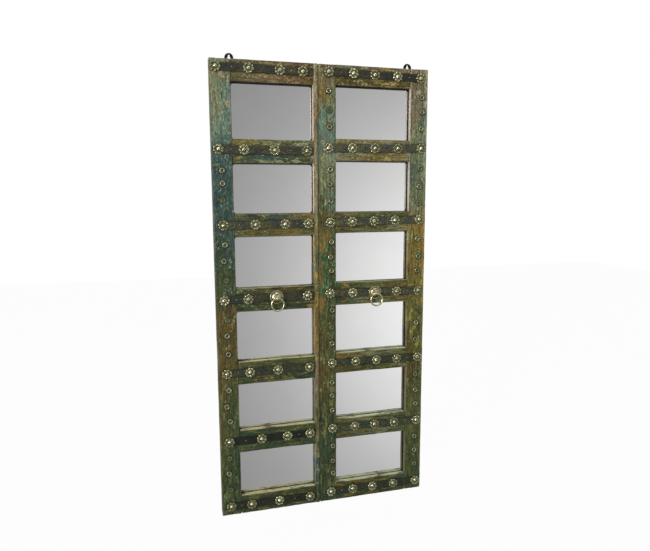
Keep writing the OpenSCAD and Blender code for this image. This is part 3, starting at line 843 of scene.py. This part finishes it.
# The rails from the top down: the lower half, the upper half, the older coat
LEFT_RAILS = [
    (even(UMBER, TAN, UMBER), even(OLIVE, TAN, UMBER), even(OLIVE, RUSSET)),
    (even(OLIVE, TEAL, OLIVE), even(OCHRE, LICHEN, STONE), even(OLIVE, STONE)),
    (even(OLIVE, OCHRE, OLIVE), even(OLIVE, TEAL, OCHRE), even(MOSS, UMBER)),
    (even(BOTTLE, MOSS, BOTTLE), even(MOSS, UMBER, BOTTLE), even(BOTTLE, UMBER)),
    (even(MOSS, BOTTLE, BOTTLE), even(OLIVE, MOSS, OLIVE), even(UMBER, MOSS)),
    (even(MOSS, BOTTLE, BOTTLE), even(BOTTLE, BOTTLE, MOSS), even(MOSS, MOSS)),
    (even(BOTTLE, BOTTLE, BOTTLE), even(BOTTLE, BOTTLE, MOSS), even(MOSS, UMBER)),
]
RIGHT_RAILS = [
    (even(UMBER, UMBER, UMBER), even(STONE, TAN, TAN), even(UMBER, OCHRE)),
    (even(STRAW, OCHRE, STRAW), even(OCHRE, STRAW, STONE), even(STONE, OCHRE)),
    (even(OLIVE, SAGE, OCHRE), even(STONE, OLIVE, OLIVE), even(UMBER, MOSS)),
    (even(BOTTLE, STONE, OCHRE), even(MOSS, OLIVE, UMBER), even(UMBER, UMBER)),
    (even(OLIVE, MOSS, STONE), even(OCHRE, STONE, OLIVE), even(UMBER, OLIVE)),
    (even(MOSS, STONE, OLIVE), even(OLIVE, STONE, MOSS), even(UMBER, MOSS)),
    (even(BOTTLE, BOTTLE, MOSS), even(MOSS, MOSS, TEAL), even(UMBER, MOSS)),
]
# Each stick's coats, and the share of the top coats that is worn off
STICKS = {
    "left_outer_stile": (LEFT_STILE, 0.42),
    "left_meeting_stile": (NOSING, 0.50),
    "right_meeting_stile": (MIDDLE_STILE, 0.46),
    "right_outer_stile": (RIGHT_STILE, 0.46),
}
for number in range(7):
    STICKS[f"left_rail_{number + 1}"] = (LEFT_RAILS[number], 0.5)
    STICKS[f"right_rail_{number + 1}"] = (RIGHT_RAILS[number], 0.5)

RAIL_BETWEEN = {
    "left": ("left_outer_stile", "left_meeting_stile"),
    "right": ("right_meeting_stile", "right_outer_stile"),
}
# How close the hollows in the timber lie: far apart along the grain, near each other across it
WITH_GRAIN, ACROSS_GRAIN = 5.0, 34.0
for seed, (node, (coats, wear)) in enumerate(STICKS.items()):
    finish = painted_wood(node, coats, wear, seed + 1)
    if "stile" in node:
        hollow_scale = (ACROSS_GRAIN, ACROSS_GRAIN, WITH_GRAIN)
        shoulders = (SEAM, SEAM)
    else:
        hollow_scale = (WITH_GRAIN, ACROSS_GRAIN, ACROSS_GRAIN)
        before, after = RAIL_BETWEEN[node.split("_")[0]]
        shoulders = (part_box(before)[1].x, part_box(after)[0].x)
    stick = weathered(
        node,
        node + "_timber",
        voxel=3.0 * MM,
        Softening=3,
        Edge_scale=26.0,
        Hollow_scale=hollow_scale,
        Hollow_depth=0.9 * MM,
        Dirt_reach=7 * MM,
        Tight_from=shoulders[0],
        Tight_to=shoulders[1],
        Seed=(seed * 1.3, seed * 0.7, seed * 2.1),
        Finish=finish,
    )
    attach(stick, LEAVES)
    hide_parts(node)

# The straps

# How light each strap is beside the others, from the top row down
STRAP_TONES = {
    "left": (0.7, 0.94, 1.05, 0.7, 0.72, 0.24, 0.36),
    "right": (0.56, 1.45, 1.45, 1.1, 0.84, 1.08, 0.64),
}
for node in [node for node in frame["nodes"] if "_strap_" in node]:
    row = int(node[-1])
    strap = weathered(
        node,
        node + "_forged",
        voxel=1.5 * MM,
        Softening=2,
        Edge_scale=60.0,
        Hollow_scale=(70.0, 10.0, 70.0),
        Hollow_depth=0.5 * MM,
        Dirt_reach=1 * MM,
        Tight_from=SEAM,
        Tight_to=SEAM,
        Seed=(row * 1.9, row * 0.4, row * 1.1),
        Finish=strap_iron(node + "_iron", STRAP_TONES[node.split("_")[0]][row - 1]),
    )
    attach(strap, LEAVES)
    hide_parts(node)

bpy.data.objects.remove(IRONWORK)

# The rosettes: eight rounded petals with dished faces, round a dome

PETALS = 8
ROSETTE_COLUMNS, DOME_RINGS, PETAL_RINGS = 96, 8, 15
PETAL_CENTRE, PETAL_R = 14.0 * MM, 6.5 * MM
PETAL_RISE, PETAL_BASE = 4.5 * MM, 1.0 * MM
PETAL_LIP, PETAL_DISH, OUTER_RIM = 2.2 * MM, 1.0 * MM, 1.2 * MM
DOME_R, DOME_RISE, DOME_CAP = 9.5 * MM, 8.0 * MM, 7.0 * MM
DOME_ARC_R = (DOME_R**2 + DOME_CAP**2) / (2 * DOME_CAP)
GROOVE_DEPTH, GROOVE_W = 2.3 * MM, 1.1 * MM


def petal_angle(angle):
    """The angle from the middle of the nearest petal."""
    pitch = 2 * math.pi / PETALS
    return abs((angle + pitch / 2) % pitch - pitch / 2)


def petal_reach(angle):
    """How far the scalloped outline stands from the middle."""
    off = petal_angle(angle)
    half_chord = math.sqrt(max(0.0, PETAL_R**2 - (PETAL_CENTRE * math.sin(off)) ** 2))
    return PETAL_CENTRE * math.cos(off) + half_chord


def petal_height(radius, angle):
    """The height of the petals' face: a rounded lip about a shallow dish, with grooves between
    neighbours and round the dome."""
    off = petal_angle(angle)
    away = math.sqrt(radius**2 + PETAL_CENTRE**2 - 2 * radius * PETAL_CENTRE * math.cos(off))
    inward = max(0.0, PETAL_R - away)
    over_lip = min(1.0, inward / PETAL_LIP)
    height = PETAL_BASE + (PETAL_RISE - PETAL_BASE) * math.sqrt(1 - (1 - over_lip) ** 2)
    height -= PETAL_DISH * min(1.0, 1.4 * max(0.0, inward - PETAL_LIP) / (PETAL_R - PETAL_LIP))
    from_neighbour = radius * math.sin(math.pi / PETALS - off)
    from_dome = radius - DOME_R * 1.04
    grooves = max(math.exp(-((gap / GROOVE_W) ** 2)) for gap in (from_neighbour, from_dome))
    return max(PETAL_BASE * 0.6, height - GROOVE_DEPTH * grooves)


def rosette_depth(radius, height, angle):
    """Below 0 on the dome, little on the petals' lips, more in their dishes, 1 in the grooves."""
    if radius < DOME_R * 0.97:
        return -0.15
    if radius > petal_reach(angle) - OUTER_RIM:
        return 0.2
    return min(1.0, max(0.0, (PETAL_RISE - height) / (PETAL_RISE * 0.36)))


def rosette_rings():
    """The rings of a rosette from the top of its dome to its foot."""
    rings = []
    for step in range(DOME_RINGS):
        share = (step + 0.4) / (DOME_RINGS - 0.6)
        height = DOME_RISE - DOME_ARC_R * (1 - math.sqrt(1 - (share * DOME_R / DOME_ARC_R) ** 2))
        rings.append(lambda angle, radius=share * DOME_R, height=height: (radius, height))
    for step in range(PETAL_RINGS):
        share = 1 - (1 - step / (PETAL_RINGS - 1)) ** 1.4

        def on_petal(angle, share=share):
            radius = DOME_R + (petal_reach(angle) - DOME_R) * share
            return radius, petal_height(min(radius, petal_reach(angle) - 0.3 * MM), angle)

        rings.append(on_petal)
    rings.append(lambda angle: (petal_reach(angle), 0.0))
    return rings


BRASS = old_brass("rosette_brass", srgb(214, 213, 170), srgb(106, 106, 68), srgb(38, 38, 14))
rosette = lathe("rosette_casting", rosette_rings(), ROSETTE_COLUMNS, rosette_depth)
rosette_seats = {}
for number, side in enumerate(("left", "right")):
    node = side + "_rosettes"
    rosette_seats[side] = seats(node, PETALS)
    knocks = {"lean": 0.04, "seed": number, "dent": 1.0 * MM, "dent_scale": 110.0}
    piece = set_castings(node + "_cast", rosette, rosette_seats[side], BRASS, **knocks)
    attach(piece, LEAVES)
    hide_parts(node)
bpy.data.objects.remove(rosette)

# The cup studs: a half-round ring held by a nail in its dark hollow

STUD_COLUMNS = 28
STUD_R, STUD_HOLLOW_R, STUD_RISE, STUD_FLOOR = 11.5 * MM, 5.0 * MM, 3.0 * MM, 1.25 * MM
NAIL_R, NAIL_TOP = 2.75 * MM, 2.25 * MM


def turned_rings(profile):
    """Plain round rings from a list of (radius, height)."""
    return [lambda angle, ring=ring: ring for ring in profile]


def stud_profile():
    """From the top of the nail over the floor of the hollow and the half-round ring to the foot."""
    profile = [
        (0.4 * MM, NAIL_TOP),
        (NAIL_R * 0.7, NAIL_TOP * 0.95),
        (NAIL_R * 0.95, NAIL_TOP * 0.8),
        (NAIL_R, STUD_FLOOR),
        (STUD_HOLLOW_R, STUD_FLOOR),
    ]
    half = (STUD_R - STUD_HOLLOW_R) / 2
    for degrees in range(35, 181, 18):
        lean = math.radians(degrees)
        profile.append((STUD_R - half - half * math.cos(lean), STUD_RISE * math.sin(lean)))
    return [*profile, (STUD_R, 0.0)]


def stud_depth(radius, height, angle):
    """1 in the hollow, less on the nail in it, least on the round ring."""
    if radius > STUD_HOLLOW_R * 1.05:
        return 0.42
    return 0.7 if height > STUD_FLOOR * 1.2 else 1.0


STUD_BRASS = old_brass(
    "stud_brass", srgb(190, 192, 150), srgb(120, 122, 88), srgb(34, 38, 24), overpainted=0.85
)
stud = lathe("stud_casting", turned_rings(stud_profile()), STUD_COLUMNS, stud_depth)
stud_seats = seats("cup_studs")
studs = set_castings("cup_studs_cast", stud, stud_seats, STUD_BRASS, lean=0.09, seed=5)
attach(studs, LEAVES)
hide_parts("cup_studs")
bpy.data.objects.remove(stud)

# Small nails that pin the straps in their end gaps

PIN_COLUMNS = 12
PIN_R, PIN_RISE, PIN_SUNK = 3.2 * MM, 1.5 * MM, 0.3 * MM
PIN_PROFILE = [
    (PIN_R * math.sin(math.radians(a)) + 0.01 * MM, PIN_RISE * math.cos(math.radians(a)))
    for a in (6, 30, 55, 75, 90)
]
pin_seats = []
for side in ("left", "right"):
    for row in range(1, 8):
        low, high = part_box(f"{side}_strap_{row}")
        on_strap = [place for place, _ in rosette_seats[side] if low.z < place.z < high.z]
        on_strap.sort(key=lambda place: place.x)
        for a, b in (on_strap[:2], on_strap[-2:]):
            middle = (a + b) / 2
            pin_seats.append((Vector((middle.x, STRAP_FACE + PIN_SUNK, middle.z)), 0.0))
PIN_IRON = old_brass("pin_iron", srgb(150, 148, 138), srgb(98, 97, 88), srgb(48, 47, 42))
pin = lathe("pin_head", turned_rings(PIN_PROFILE), PIN_COLUMNS, lambda *place: 0.3)
pins = set_castings("strap_pins", pin, pin_seats, PIN_IRON, lean=0.1, seed=9)
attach(pins, LEAVES)
bpy.data.objects.remove(pin)

# The ring pulls: a spun rose behind the eye and its loose ring

ROSE_R, ROSE_DOME_R, ROSE_RISE = 27.5 * MM, 21.5 * MM, 9.0 * MM
ROSE_TOP = STRAP_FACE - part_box("left_pull_rose")[0].y
ROSE_COLUMNS, DOME_STEPS = 72, 12
PULL_BRASS = old_brass("pull_brass", srgb(222, 216, 172), srgb(134, 130, 88), srgb(34, 32, 20))


def rose_profile():
    """From the collar of the eye over the dome, a groove and a beaded rim, to the foot."""
    flat = ROSE_TOP - ROSE_RISE
    profile = [(0.3 * MM, ROSE_TOP)]
    for step in range(1, DOME_STEPS + 1):
        share = step / DOME_STEPS
        radius = ROSE_DOME_R * share
        profile.append((radius, flat + ROSE_RISE * math.sqrt(1 - share**2 * 0.985)))
    profile += [
        (ROSE_DOME_R + 0.6 * MM, flat - 0.5 * MM),
        (ROSE_DOME_R + 1.4 * MM, flat - 0.2 * MM),
        (ROSE_DOME_R + 2.0 * MM, flat),
        (ROSE_R - 3.0 * MM, flat),
        (ROSE_R - 2.4 * MM, flat - 0.5 * MM),
        (ROSE_R - 1.8 * MM, flat),
        (ROSE_R - 0.8 * MM, flat),
        (ROSE_R, flat - 0.8 * MM),
        (ROSE_R, 0.0),
    ]
    return profile


def rose_depth(radius, height, angle):
    """1 in the grooves, little on the rim, much round the eye and at the foot of the dome, some
    below the eye, under the ring: painted shade of the ring, and dirt where the ring keeps the hand
    off."""
    below_flat = ROSE_TOP - ROSE_RISE - height
    if 0.1 * MM < below_flat < 0.7 * MM and radius < ROSE_R - 0.1 * MM:
        return 1.0
    if radius > ROSE_DOME_R * 1.05:
        return 0.1
    # Below the eye, under the hanging ring: painted shade, and dirt
    under_eye = max(0.0, -math.sin(angle)) * min(1.0, radius / (0.5 * ROSE_DOME_R))
    round_eye = math.exp(-((radius / (0.3 * ROSE_DOME_R)) ** 2))
    at_foot = min(1.0, max(0.0, radius / ROSE_DOME_R - 0.82) / 0.18)
    return 0.45 * under_eye + 0.9 * round_eye + 0.9 * at_foot - 0.1


for side in ("left", "right"):
    node = side + "_pull_rose"
    low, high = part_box(node)
    rose = lathe("rose_spinning", turned_rings(rose_profile()), ROSE_COLUMNS, rose_depth)
    seat = Vector(((low.x + high.x) / 2, high.y, (low.z + high.z) / 2))
    knocks = {"lean": 0.0, "seed": 3, "dent": 0.8 * MM, "dent_scale": 60.0}
    piece = set_castings(node + "_spun", rose, [(seat, 0.0)], PULL_BRASS, **knocks)
    bpy.data.objects.remove(rose)
    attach(piece, LEAVES)
    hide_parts(node)

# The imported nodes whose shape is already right

FINISHES = {
    "_pull_eye": PULL_BRASS,
    "_pull_ring": PULL_BRASS,
    "_hanger": black_paint("hanger_black"),
    "hanger_screws": steel("screw_steel"),
    "seam_screws": steel("seam_screw_steel"),
    "_glazing_beads": bare_wood("bead_wood"),
}
for node, thing in frame["nodes"].items():
    for ending, finish in FINISHES.items():
        if node.endswith(ending):
            dress(thing.data, finish)

# How far the glass runs on without its painted edge shade beside a cheek left unshaded
UNSHADED_ON = 3 * MM
for side, (before, after) in RAIL_BETWEEN.items():
    for row in range(1, 7):
        low = Vector((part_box(before)[1].x, 0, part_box(f"{side}_rail_{row + 1}")[1].z))
        high = Vector((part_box(after)[0].x, 0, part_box(f"{side}_rail_{row}")[0].z))
        if after in UNSHADED_CHEEKS and high.z < 0:
            high.x += UNSHADED_ON
        pane = frame["nodes"][f"{side}_pane_{row}"]
        dress(pane.data, silvered_glass(pane.name + "_silver", low, high))

# The studio

CAMERA_AT = Vector((-0.612, -2.271, 0.409))
CAMERA_TURN, CAMERA_DIP = math.radians(15.36), math.radians(8.13)
CAMERA_ROLL = math.radians(-0.226)
LENS, SENSOR = 31.4, 36.0
EYE_HEIGHT = 1.6

camera = bpy.data.objects.new("camera", bpy.data.cameras.new("camera"))
bpy.context.scene.collection.objects.link(camera)
camera.data.lens, camera.data.sensor_width = LENS, SENSOR
level = math.cos(CAMERA_DIP)
ahead = Vector((level * math.sin(CAMERA_TURN), level * math.cos(CAMERA_TURN), -math.sin(CAMERA_DIP)))
roll = Quaternion((0, 0, 1), CAMERA_ROLL)
camera.location = CAMERA_AT
camera.rotation_mode = "QUATERNION"
camera.rotation_quaternion = ahead.to_track_quat("-Z", "Y") @ roll
bpy.context.scene.camera = camera


def soft_box(name, place, aim, size, power):
    """A soft lamp of some width and height at a place, turned towards a point."""
    lamp = bpy.data.lights.new(name, "AREA")
    lamp.shape, lamp.energy = "RECTANGLE", power
    lamp.size, lamp.size_y = size
    holder = bpy.data.objects.new(name, lamp)
    holder.location = place
    holder.rotation_mode = "QUATERNION"
    holder.rotation_quaternion = (Vector(aim) - Vector(place)).to_track_quat("-Z", "Y")
    bpy.context.scene.collection.objects.link(holder)


soft_box("key_lamp", place=(-4.8, -5.2, 0.7), aim=(0, 0, 0), size=(1.4, 3.4), power=285)
soft_box("top_lamp", place=(0.1, -1.3, 2.6), aim=(0, 0, -0.2), size=(1.4, 1.0), power=13)


def studio_floor():
    """A plain floor, all but white to the camera, that lies an eye's height below it."""
    half, ground = 9.0, CAMERA_AT.z - EYE_HEIGHT
    mesh = bpy.data.meshes.new("floor")
    corners = [(-half, -half), (half, -half), (half, half), (-half, half)]
    mesh.from_pydata([(x, y, ground) for x, y in corners], [], [(0, 1, 2, 3)])
    material, tree, shader, place = new_material("floor_white")
    shader.inputs["Base Color"].default_value = (0.93, 0.93, 0.93, 1)
    shader.inputs["Roughness"].default_value = 0.9
    white = put(tree, "ShaderNodeEmission", {"Color": (1, 1, 1, 1), "Strength": 1.0})
    seen = put(tree, "ShaderNodeLightPath", output="Is Camera Ray") * 0.95
    lit = Flow(tree, shader.outputs[0])
    surface = put(tree, "ShaderNodeMixShader", {0: seen, 1: lit, 2: white})
    plug(tree, tree.nodes["Material Output"].inputs["Surface"], surface)
    dress(mesh, material)
    floor = new_object("floor", mesh)
    floor.visible_glossy = False


def studio_world():
    """White behind the object, an even soft light on it, and the dim room in front of it, whose
    pale glow is what the mirror glass shows."""
    world = bpy.data.worlds.new("studio")
    bpy.context.scene.world = world
    world.use_nodes = True
    tree = world.node_tree
    tree.nodes.clear()
    x, y, z = put(tree, "ShaderNodeTexCoord", output="Generated").split()
    # The way a ray goes, in degrees: round from straight out of the face, and up
    turn = x.math("ARCTAN2", 0.0 - y) * DEGREES
    rise = z.math("ARCSINE") * DEGREES
    across, up = (turn - 30.0) / 12.9, (rise + 10.0) / 13.5
    bell = ((across * across + up * up) * -0.5).math("EXPONENT")
    shown = turn.step(-8, 4) * turn.step(42, 27) * rise.step(-42, -31) * rise.step(24, 13)
    walls = (turn.step(-10, -34) + turn.step(34, 62)) * rise.step(-40, -5)
    room = shown * (bell * 0.84 + 0.19) + rise.step(22, 50) * 0.18 + walls * 0.28 + 0.09
    behind = y.step(0.0, 0.25)
    glow = room + (1.0 - room) * behind
    camera_ray = put(tree, "ShaderNodeLightPath", output="Is Camera Ray")
    glossy_ray = put(tree, "ShaderNodeLightPath", output="Is Glossy Ray")
    strength = 0.55 * (1.0 - glossy_ray) + glow * glossy_ray
    strength = strength * (1.0 - camera_ray) + camera_ray
    sky = put(tree, "ShaderNodeBackground", {"Color": (1, 1, 1, 1), "Strength": strength})
    plug(tree, tree.nodes.new("ShaderNodeOutputWorld").inputs["Surface"], sky)


studio_floor()
studio_world()
bpy.context.scene.view_settings.view_transform = "Standard"
